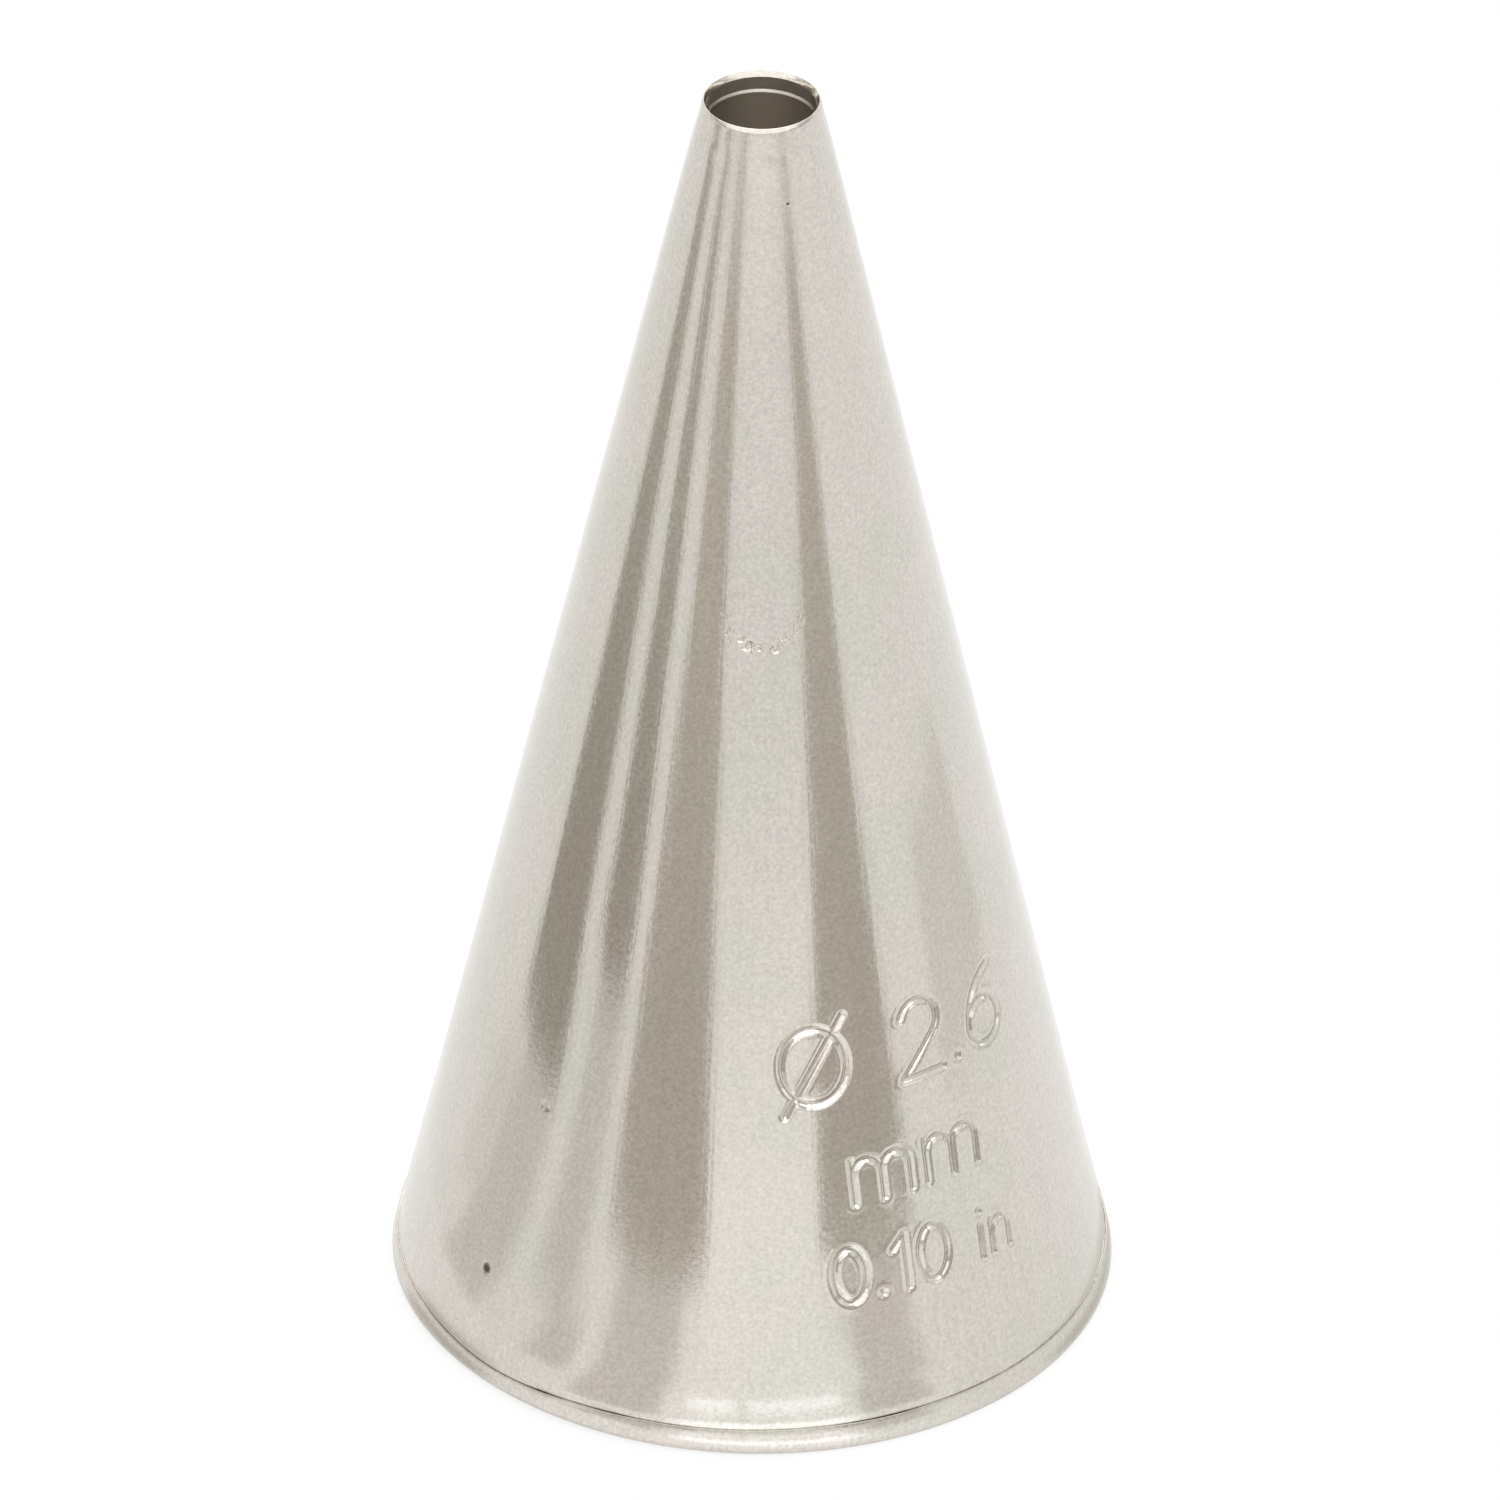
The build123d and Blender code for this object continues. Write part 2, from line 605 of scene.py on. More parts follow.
def divide(line, one, other, cuts):
    """Cuts a drawn line's edge into equal lengths."""
    choose_two(line, one, other)
    bpy.ops.mesh.subdivide(number_cuts=cuts)
    leave_edit()


# %% [markdown]
# ## The wall's section
#
# The whole nozzle is one section turned about the axis. At the mouth, a straight punch has left a short
# land with a small ridge at its lower end, a lip with a bevel on each side, and a slight hollow outside. At
# the foot, the wall swells by a hair where the fold pulled it, and the sheet turns out and back up against
# the cone. The hem is thin at its edge and widest near the table, so its face leans. A chain of corners is
# drawn first, the long stretches are divided, and the sharp corners are rounded by a bevel.

# %% The section of the rolled sheet
lip_inner_drop = 0.17 * mm
lip_outer_drop = 0.112 * mm
lip_inner_bevel = 0.068 * mm
lip_crest_drop = 0.003 * mm
lip_crest = 0.014 * mm
lip_round = 0.012 * mm
lip_wear = 0.0005 * mm
land_radius = bore_radius + 0.008 * mm
land_flare = 0.022 * mm
land_height = 0.64 * mm
ridge_height = 0.13 * mm
ridge_burr = 0.014 * mm
coined_height = 0.6 * mm
stretched_height = 2.0 * mm
coined_hollow = 0.007 * mm
swell_level = 1.5 * mm
swell = 0.022 * mm
crevice = 0.03 * mm
crevice_depth = 0.3 * mm
hem_edge = 0.04 * mm
hem_edge_drop = 0.01 * mm
belly_level = 0.14 * mm
belly_overhang = 0.025 * mm
mark_low = 3.3 * mm
mark_high = 11.4 * mm


def on_cone(level, out=0.0):
    """A corner on the straight cone's outside at a height, or a little out from it."""
    return (outer_radius(level) + out, level)


inner_bend = hem_height - (wall_across - sheet) / slope
ridge_level = height - land_height
land_end = outer_radius(ridge_level) - wall_across

lip_inner_low = (land_radius, height - lip_inner_drop)
lip_radius = land_radius + lip_inner_bevel
lip_inner_high = (lip_radius, height - lip_crest_drop)
lip_top = (lip_radius + lip_crest / 2, height - lip_wear)
lip_outer_high = (lip_radius + lip_crest, height - lip_crest_drop)
lip_outer_low = on_cone(height - lip_outer_drop)
coined_middle = on_cone(height - coined_height / 2, -coined_hollow)
coined_end = on_cone(height - coined_height)
stretched_end = on_cone(height - stretched_height)
mark_top_corner = on_cone(mark_high)
mark_low_corner = on_cone(mark_low)
swell_corner = on_cone(swell_level, swell)
hem_corner = (foot_radius, hem_height)
crevice_inner = (foot_radius, hem_height - crevice_depth)
edge_radius = foot_radius + crevice
crevice_outer = (edge_radius, hem_height - crevice_depth)
edge_inner = (edge_radius, hem_height - hem_edge_drop)
edge_top = (edge_radius + hem_edge, hem_height)
edge_belly = (rim_radius, belly_level)
foot_outer = (rim_radius - belly_overhang, 0)
foot_inner = (foot_inner_radius, 0)
bend_inner = (foot_inner_radius, inner_bend)
ridge_below = (land_end, ridge_level)
ridge = (bore_radius - ridge_burr, ridge_level + ridge_height / 3)
ridge_above = (land_radius + land_flare, ridge_level + ridge_height)

section_corners = [
    lip_inner_low, lip_inner_high, lip_top, lip_outer_high, lip_outer_low, coined_middle, coined_end,
    stretched_end, mark_top_corner, mark_low_corner, swell_corner, hem_corner, crevice_inner, crevice_outer,
    edge_inner, edge_top, edge_belly, foot_outer, foot_inner, bend_inner, ridge_below, ridge, ridge_above,
]

# Corner, radius and segments of each rounding
roundings = (
    (coined_end, 0.1 * mm, 4),
    (coined_middle, 0.25 * mm, 4),
    (swell_corner, 0.3 * mm, 5),
    (lip_inner_low, lip_round, 3),
    (lip_inner_high, lip_crest / 3, 3),
    (lip_outer_high, lip_crest / 3, 3),
    (lip_outer_low, lip_round, 3),
    (edge_top, 0.012 * mm, 3),
    (edge_belly, 0.05 * mm, 4),
    (foot_outer, 0.08 * mm, 6),
    (foot_inner, 0.08 * mm, 4),
    (ridge, 0.012 * mm, 3),
    (ridge_above, 0.02 * mm, 3),
)


def wall_section(name, row, mark_row, inside_row):
    """The closed section of the wall, rounded and divided into rows, ready to spin."""
    line = draw(name, section_corners)
    choose_two(line, section_corners[0], section_corners[-1])
    bpy.ops.mesh.edge_face_add()
    leave_edit()
    for above, below, step in (
        (coined_end, stretched_end, mark_row),
        (stretched_end, mark_top_corner, row),
        (mark_top_corner, mark_low_corner, mark_row),
        (mark_low_corner, swell_corner, row),
        (swell_corner, hem_corner, row / 2),
        (ridge_below, bend_inner, inside_row),
    ):
        divide(line, above, below, round((above[1] - below[1]) / step))
    for corner, radius, segments in roundings:
        round_off(line, corner, radius, segments)
    return line


cone = wall_section("rolled_cone", row=0.6 * mm, mark_row=0.15 * mm, inside_row=0.8 * mm)
print("section", len(cone.data.vertices), "points")

# %% [markdown]
# ## Spinning the sheet and opening the seam
#
# The section is spun once round the axis. Between a rolled blank's two straight edges there is a slot,
# which the weld fills. It has parallel sides, so it is cut with two bisecting planes and emptied, and the
# two cut edges of the sheet are faced over.

# %% The spin and the slot
spin_steps = 270
seam_azimuth = 108.0
seam_width = 0.4 * mm
same_point = 0.0001 * mm

seam_out = toward(seam_azimuth)
seam_across = Vector((0, 0, 1)).cross(seam_out)


def choose_all(piece):
    choose(piece, points=np.ones(len(piece.data.vertices), bool))


def turn_outwards():
    bpy.ops.mesh.select_all(action="SELECT")
    bpy.ops.mesh.normals_make_consistent(inside=False)
    leave_edit()


def spin_all(piece, steps, angle):
    choose_all(piece)
    bpy.ops.mesh.spin(steps=steps, angle=angle, center=(0, 0, 0), axis=(0, 0, 1))
    bpy.ops.mesh.select_all(action="SELECT")
    bpy.ops.mesh.remove_doubles(threshold=same_point)
    turn_outwards()


def off_seam(spots):
    """How far places lie to the seam's side, as a signed distance."""
    return spots @ np.array(seam_across)


def in_seam(spots, half_width):
    """Which of the places lie in the flat slice that runs out from the axis along the seam."""
    return (spots @ np.array(seam_out) > 0) & (np.abs(off_seam(spots)) < half_width)


spin_all(cone, spin_steps, math.tau)
for side in (-1, 1):
    choose(cone, faces=in_seam(centres(cone), 3 * seam_width))
    slot_side = seam_across * side
    bpy.ops.mesh.bisect(plane_co=slot_side * seam_width / 2, plane_no=slot_side, threshold=same_point)
    leave_edit()
choose(cone, faces=in_seam(centres(cone), seam_width / 2))
bpy.ops.mesh.delete(type="FACE")
leave_edit()
for side in (-1, 1):
    across = off_seam(places(cone)) * side
    choose(cone, points=in_seam(places(cone), seam_width) & (np.abs(across - seam_width / 2) < same_point))
    bpy.ops.mesh.edge_face_add()
    leave_edit()
print("rolled sheet", len(cone.data.polygons), "faces")

# %% [markdown]
# ## The folded hem is uneven
#
# A folding tool closes the hem better in some places than in others, so the crevice behind the turned-up
# edge is a dark line that comes and goes. The edge is pressed in except at the listed open places: nothing
# at the crevice's floor and all of it at the top. At one side the blank was cut a little short, so the edge
# stands lower there, and the fold doesn't quite reach the table.

# %% Pressing the hem
crevice_floor = hem_height - crevice_depth
hem_press = 0.024 * mm
hem_drop = 0.035 * mm
short_side = -48
edge_dip = 0.15 * mm
edge_dip_width = 14
fold_lift = 0.09 * mm
fold_draw_in = 0.06 * mm
fold_lift_width = 40
# Azimuth, width in degrees and openness of each place that the tool left open
open_places = (
    (-175, 9, 0.7), (-140, 12, 0.5), (-108, 7, 0.9), (-60, 9, 0.2), (-36, 3, 0.8), (-23.5, 4, 0.75),
    (23, 5, 0.8), (38, 6, 0.2), (96, 8, 0.3), (132, 10, 0.9), (155, 6, 0.5),
)
least_open = 0.03
# The edge's own waves: how many go round, where they start in degrees, and their share
edge_waves = ((2, 40, 1.0), (5, 120, 0.7), (13, 200, 0.4))
wave_middle = 2


def turns_of(spots):
    """The azimuths of places, in degrees."""
    return np.degrees(np.arctan2(spots[:, 0], -spots[:, 1]))


def turned_from(turns, azimuth):
    return (turns - azimuth + 180) % 360 - 180


def hump(away, width):
    """1 where nothing is away, and fading out beyond a width."""
    return np.exp(-((away / width) ** 2))


def remember(piece, name, values):
    """A value for each point, which the piece's material can read."""
    attribute = piece.data.attributes.new(name, "FLOAT", "POINT")
    attribute.data.foreach_set("value", np.ascontiguousarray(values, np.float32))


def smooth_step(values, low, high):
    """0 below one value, 1 above another and a smooth ramp between them."""
    share = np.clip((values - low) / (high - low), 0, 1)
    return share * share * (3 - 2 * share)


def press_hem(piece):
    spots = places(piece)
    turns = turns_of(spots)
    radii = radii_of(spots)
    opening = np.full(len(spots), least_open)
    for azimuth, width, how_open in open_places:
        opening = np.maximum(opening, how_open * hump(turned_from(turns, azimuth), width))
    edge = (radii > foot_radius + crevice / 2) * smooth_step(spots[:, 2], crevice_floor / 2, hem_height)
    wave = sum(share * np.sin(np.radians(count * turns + start)) for count, start, share in edge_waves)
    wave = (wave + wave_middle) / (2 * wave_middle)
    from_short = turned_from(turns, short_side)
    dip = edge_dip * hump(from_short, edge_dip_width)
    short = hump(from_short, fold_lift_width)
    fold = (radii > foot_inner_radius) * (1 - smooth_step(spots[:, 2], 0, crevice_floor))
    outer_fold = fold * smooth_step(radii, foot_radius, rim_radius)
    pressed = 1 - (edge * (1 - opening) * hem_press + outer_fold * short * fold_draw_in) / radii
    spots[:, 0] *= pressed
    spots[:, 1] *= pressed
    spots[:, 2] += fold * short * fold_lift - edge * (wave * hem_drop + dip)
    remember(piece, "how_open", opening)
    remember(piece, "edge_level", (hem_height - wave * hem_drop - dip) / mm)
    move_to(piece, spots)


press_hem(cone)
print("hem pressed at", len(open_places), "open places")

# %% [markdown]
# ## A size mark in plain strokes
#
# The photographed nozzle has stamped lettering, which isn't copied. In its place is the nozzle's own bore
# in plain characters. A maker strikes such a mark into the flat blank with a blunt stamp, so its lines are
# straight in the blank and bend with the cone. Each character is a few strokes, in shares of its height.

# %% Strokes of the size mark
arc_step = 12
mark_azimuth = math.radians(33.5)
mark_lines = (
    ("Ø 2.6", 1.95 * mm, 9.15 * mm),
    ("mm", 1.85 * mm, 6.35 * mm),
    ("0.10 in", 1.4 * mm, 3.85 * mm),
)
letter_gap_share = 0.24


def arc(middle, radii, start, end):
    """Points along an arc, by angles in degrees from the right, positive against the clock."""
    turns = np.radians(np.linspace(start, end, round(abs(end - start) / arc_step) + 1))
    return [(middle[0] + radii[0] * math.cos(turn), middle[1] + radii[1] * math.sin(turn)) for turn in turns]


def arch(left):
    """One arch of an m or n, with the stem on its right."""
    return arc((left + 0.21, 0.39), (0.21, 0.21), 180, 0) + [(left + 0.42, 0)]


stem = [(0, 0.6), (0, 0)]
character_shares = {
    " ": (0.25, []),
    ".": (0.04, [[(0.02, 0.02), (0.02, 0.05)]]),
    "Ø": (0.86, [arc((0.43, 0.5), (0.42, 0.5), 0, 360), [(0, -0.1), (0.86, 1.1)]]),
    "0": (0.6, [arc((0.3, 0.5), (0.29, 0.5), 0, 360)]),
    "1": (0.24, [[(0, 0.76), (0.24, 1), (0.24, 0)]]),
    "2": (0.6, [arc((0.3, 0.71), (0.28, 0.29), 160, -36) + [(0, 0), (0.6, 0)]]),
    "6": (0.6, [arc((0.3, 0.3), (0.3, 0.3), 0, 360), arc((0.62, 0.3), (0.62, 0.7), 180, 102)]),
    "i": (0.04, [[(0.02, 0.6), (0.02, 0)], [(0.02, 0.86), (0.02, 0.88)]]),
    "m": (0.84, [stem, arch(0), arch(0.42)]),
    "n": (0.42, [stem, arch(0)]),
}


def mark_strokes():
    """All short straight pieces of the mark in the flat blank: their starts and their ends."""
    starts, ends = [], []
    for text, tall, base in mark_lines:
        widths = [character_shares[character][0] for character in text]
        wide = (sum(widths) + letter_gap_share * (len(text) - 1)) * tall
        left = -wide / 2
        for character, width in zip(text, widths):
            for stroke in character_shares[character][1]:
                spots = [(left + across * tall, base + along * tall) for across, along in stroke]
                starts += spots[:-1]
                ends += spots[1:]
            left += (width + letter_gap_share) * tall
    return np.array(starts), np.array(ends)


stroke_starts, stroke_ends = mark_strokes()
print("size mark", [line[0] for line in mark_lines], len(stroke_starts), "short strokes")

# %% [markdown]
# ## Pressing the mark
#
# A Boolean cut would leave knife edges, while a stamp leaves round shoulders. So the faces near the
# strokes are subdivided, their new points are set on the true cone, and two vertex groups are painted: the
# groove, and the metal that rose beside it. A Displace modifier for each pushes the surface.

# %% The pressed mark
mark_reach = 0.30 * mm
mark_cuts = 4
groove_width = 0.084 * mm
groove_depth = 0.070 * mm
shoulder_away = 0.185 * mm
shoulder_width = 0.045 * mm
shoulder_rise = 0.006 * mm
least_weight = 0.001


def on_outer_wall(spots):
    between = (spots[:, 2] > mark_low) & (spots[:, 2] < mark_high)
    return between & (radii_of(spots) > outer_radius(spots[:, 2]) - sheet / 2)


def from_strokes(spots):
    """How far each place is from the nearest stroke, measured in the flat blank."""
    slant = radii_of(spots) / math.sin(half_angle)
    turn = (np.arctan2(spots[:, 0], -spots[:, 1]) - mark_azimuth) * math.sin(half_angle)
    table_slant = outer_radius(0) / math.sin(half_angle)
    blank = np.stack((slant * np.sin(turn), table_slant - slant * np.cos(turn)), axis=1)
    runs = stroke_ends - stroke_starts
    nearest_yet = np.full(len(spots), np.inf)
    for start, run in zip(stroke_starts, runs):
        share = np.clip(((blank - start) @ run) / (run @ run), 0, 1)
        away = np.linalg.norm(blank - start - share[:, None] * run, axis=1)
        nearest_yet = np.minimum(nearest_yet, away)
    return nearest_yet


def push(piece, name, weights, distance, texture=None, mid_level=0.0):
    """Paints a vertex group, and pushes its points along their normals by their weights."""
    group = piece.vertex_groups.new(name=name)
    for index in np.flatnonzero(weights > least_weight):
        group.add([int(index)], float(weights[index]), "REPLACE")
    modifier = piece.modifiers.new(name, "DISPLACE")
    modifier.vertex_group = name
    modifier.strength = distance
    modifier.mid_level = mid_level
    modifier.texture = texture
    take(piece)
    bpy.ops.object.modifier_apply(modifier=name)


def press_mark(piece):
    middles = centres(piece)
    near = on_outer_wall(middles)
    near[near] = from_strokes(middles[near]) < mark_reach
    choose(piece, faces=near)
    bpy.ops.mesh.subdivide(number_cuts=mark_cuts)
    leave_edit()
    spots = places(piece)
    wall = on_outer_wall(spots)
    true_share = outer_radius(spots[wall, 2]) / radii_of(spots[wall])
    spots[wall, :2] *= true_share[:, None]
    move_to(piece, spots)
    away = np.full(len(spots), np.inf)
    away[wall] = from_strokes(spots[wall])
    groove = hump(away, groove_width)
    remember(piece, "pressed", groove)
    push(piece, "groove", groove, -groove_depth)
    push(piece, "raised_side", hump(away - shoulder_away, shoulder_width), shoulder_rise)


press_mark(cone)
print("marked sheet", len(cone.data.polygons), "faces")

# %% [markdown]
# ## A hair's breadth of unevenness
#
# A rolled sheet is never a perfect cone. Its long reflections waver, which tells the eye that it is metal.
# A Displace modifier with a slow cloud texture gives it waves a few hundredths of a millimetre high and
# several millimetres long, and smaller ones where the punch stretched the mouth. The hem, the lip and the
# seam stay true.

# %% Slow waves in the sheet
wave_length = 5 * mm
wave_height = 0.030 * mm
mouth_wave_length = 0.8 * mm
mouth_wave_height = 0.026 * mm
# Ranges over which the waves begin or end: heights, drops from the mouth, degrees from the seam
wall_begins = (1.5 * mm, 4 * mm)
wall_ends = (29 * mm, 32 * mm)
mouth_begins = (1.6 * mm, 0.7 * mm)
mouth_ends_drop = 0.32 * mm
seam_stays = (12, 25)


def waves(piece, name, length, high, free):
    clouds = bpy.data.textures.new(name, "CLOUDS")
    clouds.noise_scale = length
    clouds.noise_depth = 1
    away = np.abs(turned_from(turns_of(places(piece)), seam_azimuth))
    push(piece, name, free * smooth_step(away, *seam_stays), high, clouds, 0.5)


level = places(cone)[:, 2]
middle = smooth_step(level, *wall_begins) * (1 - smooth_step(level, *wall_ends))
waves(cone, "free_wall", wave_length, wave_height, middle)
near_mouth = smooth_step(level, *(height - drop for drop in mouth_begins))
near_mouth *= 1 - smooth_step(level, height - mouth_ends_drop, height - lip_inner_drop - lip_round)
waves(cone, "stretched_wall", mouth_wave_length, mouth_wave_height, near_mouth)
print("waves", wave_height / mm, "mm over", wave_length / mm, "mm")

# %% [markdown]
# ## The weld
#
# The weld is a narrow strip of its own metal that fills the slot from the hem to the mouth: the same
# section with finer rows, spun through a small angle and cut to the slot's width by two planes that also
# close it. Outside, it is flush and keeps a faint line along each side. Inside, it stands up as a rippled
# bead, which the punch has sheared off at the mouth.

# %% The weld's strip
weld_sector = 22.0
weld_steps = 74

weld = wall_section("seam_bead", row=0.09 * mm, mark_row=0.09 * mm, inside_row=0.09 * mm)
take(weld)
weld.rotation_euler.z = math.radians(seam_azimuth - 90 + weld_sector / 2)
bpy.ops.object.transform_apply(rotation=True)
spin_all(weld, weld_steps, math.radians(weld_sector))
for side in (-1, 1):
    slot_side = seam_across * side
    choose_all(weld)
    bpy.ops.mesh.bisect(
        plane_co=slot_side * seam_width / 2,
        plane_no=slot_side,
        clear_outer=True,
        use_fill=True,
        threshold=same_point,
    )
    turn_outwards()
press_hem(weld)
print("weld", len(weld.data.polygons), "faces")

# %% The weld's ripples, side lines and nick
bead_half = 0.17 * mm
bead_rise = 0.05 * mm
bead_begins = 1.6 * mm
bead_ends_drop = 0.9 * mm
skin_share = 0.1
ripple_pitch = 0.32 * mm
ripple_share = 0.22
ripple_bow = 2.4
outside_ripple = 0.35
side_line_half = 0.03 * mm
side_line_depth = 0.014 * mm
nick_depth = 0.11 * mm
nick_lean = 0.02 * mm
nick_share = 0.7


def ripple_weld(piece):
    spots = places(piece)
    level = spots[:, 2]
    across = off_seam(spots)
    radii = radii_of(spots)
    inside = (radii < outer_radius(level) - sheet * (1 - skin_share)) & (level > hem_height)
    outside = radii > outer_radius(level) - sheet * skin_share
    crown = np.sqrt(np.clip(1 - (across / bead_half) ** 2, 0, 1))
    bow = ripple_bow * (across / bead_half) ** 2
    ripple = 0.5 + 0.5 * np.cos(math.tau * level / ripple_pitch + bow)
    ends = smooth_step(level, hem_height, bead_begins)
    ends *= 1 - smooth_step(level, height - bead_ends_drop, ridge_level)
    push(piece, "bead", inside * ends * crown * (1 - ripple_share * ripple), bead_rise)
    line = hump(np.abs(across) - seam_width / 2 + side_line_half, side_line_half)
    line *= np.abs(across) < seam_width / 2 - same_point
    low = (line + outside_ripple * ripple * crown) / (1 + outside_ripple)
    push(piece, "side_lines", outside * (level > hem_height) * low, -side_line_depth)


def nick_weld(piece):
    """The punch has dragged the weld's end down and inwards."""
    spots = places(piece)
    across = off_seam(spots)
    above = spots[:, 2] > height - lip_inner_drop / 2
    choose(piece, points=above & (np.abs(across) < bead_half * nick_share))
    bpy.ops.transform.translate(value=-seam_out * nick_lean - Vector((0, 0, nick_depth)))
    leave_edit()


ripple_weld(weld)
nick_weld(weld)
print("ripples", ripple_pitch / mm, "mm apart")

# %% [markdown]
# ## A slightly slanted mouth
#
# The mouth was brushed after it was sized, which took off a tenth of a millimetre at the back and nothing
# in front. The lip's bevel is remembered first, so that the material still knows where it is.

# %% The slant
mouth_slant = 0.10 * mm
slant_drops = (1.6 * mm, 0.4 * mm)


def slant_mouth(piece):
    spots = places(piece)
    level = spots[:, 2]
    lip_foot = height - lip_inner_drop
    remember(piece, "lip", smooth_step(level, lip_foot - lip_round, lip_foot + lip_round))
    back_share = 0.5 + 0.5 * spots[:, 1] / radii_of(spots)
    near_lip = smooth_step(level, *(height - drop for drop in slant_drops))
    spots[:, 2] -= mouth_slant * back_share * near_lip
    move_to(piece, spots)


for piece in (cone, weld):
    slant_mouth(piece)
print("mouth slants by", mouth_slant / mm, "mm")

# %% [markdown]
# ## Satin steel
#
# The sheet is bright rolled stainless steel, tumbled until it is satin. It has a fine pebble grain, faint
# streaks, cloudy warm and cool patches, a few pits and dimples, painted shade with grime in the mark's
# strokes, painted shade with dirt in the hem's crevice, and one darker brown patch by the hem on the left.
# The hem's edge was sheared, so it is duller, and it also carries a painted shade that keeps the lamp's
# highlight off it; the lip is glossier. All patterns read Object coordinates. The streaks use the level
# direction from the axis, so they narrow to the mouth.


# %% The steel's patterns
def noise(tree, place, scale, detail=2.0, roughness=0.5):
    """A soft random pattern around 0.5."""
    inputs = {"Vector": place, "Scale": scale, "Detail": detail, "Roughness": roughness}
    return tree.node("TexNoise", inputs=inputs)


def spot(tree, place, at, size):
    """1 at a place, fading to 0 at a distance from it, in millimetres."""
    away = tree.vector("DISTANCE", place, at, output=1)
    return 1 - away.ease(spot_core * size, size)


def all_spots(tree, place, spots):
    """1 at each of several spots on the wall, given as azimuth, height and radius."""
    strongest = tree.node("Value")
    for azimuth, level, size in spots:
        strongest = strongest.larger(spot(tree, place, on_wall(azimuth, level), size))
    return strongest


def bare_metal(start, colour, roughness, relief, depth):
    bump = start.node("Bump", inputs={"Distance": depth, "Height": relief})
    looks = {"Metallic": 1.0, "Base Color": colour, "Roughness": roughness, "Normal": bump}
    surface(start, start.node("BsdfPrincipled", inputs=looks))


def band(value, rise, fall):
    """1 between a ramp where it rises and a ramp where it falls."""
    return value.ease(*rise) * (1 - value.ease(*fall))


def along_cone(tree, place, turns_scale, level_scale):
    """Coordinates that run round the axis and up it."""
    level_only = tree.vector("MULTIPLY", place, (0, 0, level_scale))
    flat = tree.vector("MULTIPLY", place, (1, 1, 0))
    direction = tree.vector("MULTIPLY", tree.vector("NORMALIZE", flat), (turns_scale,) * 3)
    return tree.vector("ADD", direction, level_only)


def on_wall(azimuth, level):
    """A place on the cone's outside, in millimetres."""
    spot_place = toward(azimuth) * outer_radius(level * mm) / mm
    return (spot_place.x, spot_place.y, level)


print("steel patterns: noise, spots and bands")

# %% Marks of handling
spot_core = 0.35
# Azimuth, height and radius of each pit and dimple
pits = ((-52, 2.85, 0.19), (20.6, 31.4, 0.05), (-141, 9.2, 0.1), (150, 21, 0.07))
dimples = (
    (-3.2, 20.47, 0.19), (-5.2, 20.62, 0.12), (6.0, 20.38, 0.15), (0.8, 20.38, 0.06), (-45, 7.63, 0.18),
    (54.6, 15.05, 0.08), (-120, 14.3, 0.09), (172, 6.1, 0.08),
)
scuff_middle = (1.4, 21.3)
scuff_radius = 0.92
scuff_lift = (-0.7, 0.1)
pit_colour = (0.10, 0.09, 0.075, 1)
# Colour of the painted shade with dirt and grime in the crevice and the grooves, and of the brown patch
shade_and_grime_colour = (0.33, 0.29, 0.24, 1)
# Painted shade with dirt along the crevice: its least and most, by how open the crevice is
least_shade_and_dirt = 0.02
most_shade_and_dirt = 0.38
# Ramps: heights from the hem's edge, or distances from the axis, where a look begins and ends
crevice_line_rise, crevice_line_fall = (-0.13, -0.02), (0.0, 0.16)
brown_patch_rise, brown_patch_fall = (-0.3, -0.05), (0.1, 0.6)
crevice_line_radii = (8.25, 8.4)
cut_rise, cut_fall = (-0.04, -0.01), (0.02, 0.05)
cut_radii = (8.585, 8.61)
cloud_ramp = (0.35, 0.65)
# A darker brown patch by the hem on the left
brown_patch_centre = (-57, 0.8)
brown_patch_radius = 1.9
brown_patch_share = 0.22
patch_range = (0.55, 1.1)
scratch_ring = (0.04, 0.22)
scratch_ramp = (0.5, 0.7)


def remembered(tree, name):
    """A value that each of the piece's points carries."""
    return tree.node("Attribute", {"attribute_name": name}, output="Fac")


def crevice_shade_and_dirt(start, place, from_edge, from_axis):
    """Painted shade and dirt along the crevice, most where it is open, and one darker brown patch by the hem
    on the left.
    """
    # Painted shade with dirt: darker along the crevice, most where it is open.
    line = band(from_edge, crevice_line_rise, crevice_line_fall) * from_axis.ease(*crevice_line_radii)
    line_darkness = remembered(start, "how_open") * most_shade_and_dirt + least_shade_and_dirt
    patches = noise(start, place, 0.9, 2.0).ease(*cloud_ramp, *patch_range)
    # A darker brown patch by the hem on the left.
    around = band(from_edge, brown_patch_rise, brown_patch_fall) * from_axis.ease(*crevice_line_radii)
    brown_area = around * spot(start, place, on_wall(*brown_patch_centre), brown_patch_radius) * brown_patch_share
    return (line * line_darkness * patches).larger(brown_area)


def scuff(start, place, height_up):
    """A round tool slipped here: half a ring of fine bright scratches."""
    from_middle = start.vector("DISTANCE", place, on_wall(*scuff_middle), output=1) - scuff_radius
    ring = 1 - from_middle.maths("ABSOLUTE", from_middle).ease(*scratch_ring)
    scratches = noise(start, start.vector("MULTIPLY", place, (1, 1, 0.5)), 9.0, 2.0, 0.6)
    upper_half = height_up.ease(*(scuff_middle[1] + lift for lift in scuff_lift))
    return ring * scratches.ease(*scratch_ramp) * (1 - upper_half)


print("pits", len(pits), "dimples", len(dimples))

# %% The steel's finish
warm_steel = (0.640, 0.598, 0.553, 1)
cool_steel = (0.612, 0.592, 0.540, 1)
relief_unit = 0.010 * mm
inside_ramp = (0.0, 0.02)
inside_calm = 0.8
grain_share = 0.42
streak_share = 0.07
fine_share = 0.05
# How much painted shade darkens the sheared edge, keeping the lamp's highlight off it
cut_edge_painted_shade = 0.3
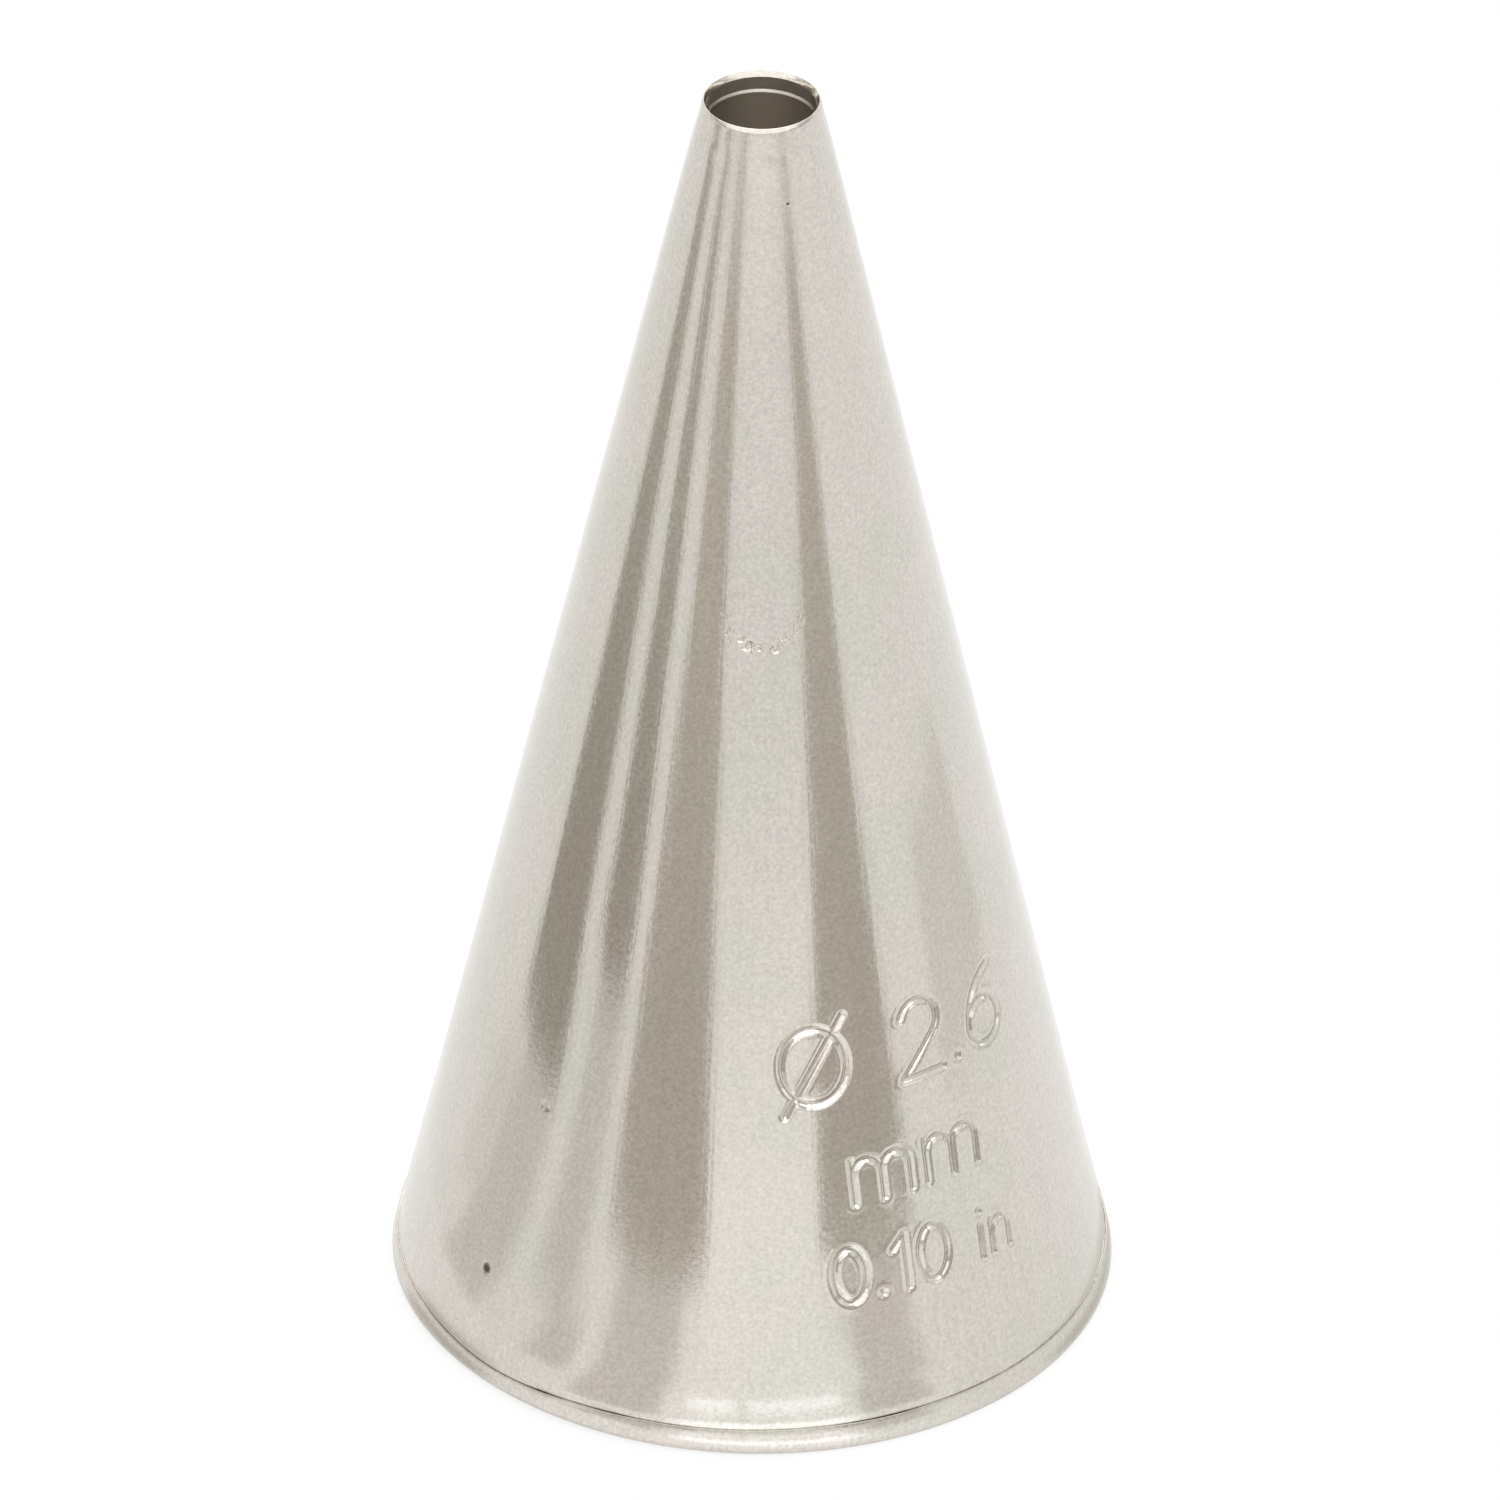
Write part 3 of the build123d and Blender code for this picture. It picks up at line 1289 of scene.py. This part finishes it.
# Painted shade with grime in the mark's grooves
groove_shade_ramp = (0.55, 1.0)
most_groove_shade_and_grime = 0.35
steel_roughness = 0.14
cloud_roughness = 0.06
grain_roughness = 0.08
streak_roughness = 0.06
lip_gloss = 0.02
cut_roughness = 0.25
inside_roughness = 0.24
shade_and_dirt_roughness = 0.2
pit_roughness = 0.4
pebble_relief = 0.18
grain_relief = 0.08
streak_relief = 0.25
fine_relief = 0.08
pit_relief = 5.0
dimple_relief = 2.2
scuff_relief = 1.6


def satin_steel():
    material, start, place = new_material("rolled_steel")
    place = start.vector("MULTIPLY", place, (1 / mm,) * 3)
    clouds = noise(start, place, 0.35, 3.0)
    pebbles = noise(start, place, 7.0, 2.0, 0.6)
    grain = noise(start, place, 10.0, 1.0, 0.7)
    streaks = noise(start, along_cone(start, place, 26.0, 0.06), 1.0, 3.0, 0.6)
    fine_streaks = noise(start, along_cone(start, place, 90.0, 0.15), 1.0, 2.0)
    height_up = height_in(start, place)
    from_axis = start.vector("LENGTH", start.vector("MULTIPLY", place, (1, 1, 0)), output=1)
    from_edge = height_up - remembered(start, "edge_level")
    cut_edge = band(from_edge, cut_rise, cut_fall) * from_axis.ease(*cut_radii)
    lip = remembered(start, "lip")
    wall_middle = height_up * -slope + (outer_radius(0) - wall_across / 2) / mm
    inside = (wall_middle - from_axis).ease(*inside_ramp) * (1 - lip)
    pressed = remembered(start, "pressed")
    pitted = all_spots(start, place, pits)
    dimpled = all_spots(start, place, dimples)
    tint = clouds.ease(*cloud_ramp).blend(warm_steel, cool_steel)
    plain = 1 - inside * inside_calm
    shade = 1 + (grain - 0.5) * plain * grain_share + (streaks - 0.5) * streak_share
    # The sheared edge also gets a painted shade that keeps the lamp's highlight off it.
    shade = (shade + (fine_streaks - 0.5) * fine_share) * (1 - cut_edge * cut_edge_painted_shade)
    colour = start.vector("MULTIPLY", tint, grey(start, shade))
    # Painted shade with dirt along the hem's crevice, and the darker brown patch.
    shade_and_dirt = crevice_shade_and_dirt(start, place, from_edge, from_axis)
    # Painted shade with grime: the mark's grooves are darker.
    groove_shade_and_grime = pressed.ease(*groove_shade_ramp, to_high=most_groove_shade_and_grime)
    colour = shade_and_dirt.larger(groove_shade_and_grime).blend(colour, shade_and_grime_colour)
    colour = pitted.blend(colour, pit_colour)
    roughness = steel_roughness + (clouds - 0.5) * cloud_roughness + (grain - 0.5) * grain_roughness
    roughness = roughness + (streaks - 0.5) * streak_roughness - lip * lip_gloss
    roughness = roughness + cut_edge * cut_roughness + inside * inside_roughness
    roughness = roughness + shade_and_dirt * shade_and_dirt_roughness + pitted * pit_roughness
    relief = (pebbles * pebble_relief + grain * grain_relief) * plain
    relief = relief + streaks * streak_relief + fine_streaks * fine_relief
    relief = relief - pitted * pit_relief - dimpled * dimple_relief
    relief = relief - scuff(start, place, height_up) * scuff_relief
    bare_metal(start, colour, roughness, relief, relief_unit)
    return material


cone.data.materials.append(satin_steel())
print("steel", warm_steel[:3], "to", cool_steel[:3])

# %% [markdown]
# ## Weld metal
#
# Weld metal cooled fast and was only brushed, so it is greyer and rougher than the sheet. Heat has
# tinted the metal beside it straw and faint blue.

# %% The weld's finish
weld_grey = (0.50, 0.475, 0.44, 1)
straw = (0.60, 0.53, 0.42, 1)
faint_blue = (0.46, 0.47, 0.50, 1)
straw_ramp = (0.45, 0.8)
blue_ramp = (0.7, 1.0)
blue_patches = (0.5, 0.7)
weld_grain_share = 0.25
weld_roughness = 0.34
weld_grain_roughness = 0.2
weld_relief_depth = 0.004 * mm


def weld_steel():
    material, start, place = new_material("weld_steel")
    place = start.vector("MULTIPLY", place, (1 / mm,) * 3)
    clouds = noise(start, place, 0.8, 3.0)
    grain = noise(start, place, 14.0, 3.0, 0.6)
    across = start.vector("DOT_PRODUCT", place, tuple(seam_across), output=1)
    from_middle = across.maths("ABSOLUTE", across) * (2 * mm / seam_width)
    tint = from_middle.ease(*straw_ramp).blend(weld_grey, straw)
    tint = (clouds.ease(*blue_patches) * from_middle.ease(*blue_ramp)).blend(tint, faint_blue)
    shade = 1 + (grain - 0.5) * weld_grain_share
    colour = start.vector("MULTIPLY", tint, grey(start, shade))
    roughness = weld_roughness + (grain - 0.5) * weld_grain_roughness
    bare_metal(start, colour, roughness, grain, weld_relief_depth)
    return material


weld.data.materials.append(weld_steel())
print("weld metal", weld_grey[:3])

# %% [markdown]
# ## Smooth shading and the body
#
# Both pieces are shaded smooth except at real angles. Each one rides on the nozzle's only body, and the CAD
# part that it stands in for is hidden.

# %% Bodies, and the hidden CAD parts
sharp_angle = math.radians(35)

for piece in (cone, weld):
    take(piece)
    bpy.ops.object.shade_smooth_by_angle(angle=sharp_angle)
    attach(piece, "root")
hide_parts("cone_shell")
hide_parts("seam_weld")
deselect()

view = bpy.context.scene.view_settings
view.view_transform = "Standard"
print("pieces", [piece.name for piece in (cone, weld)])
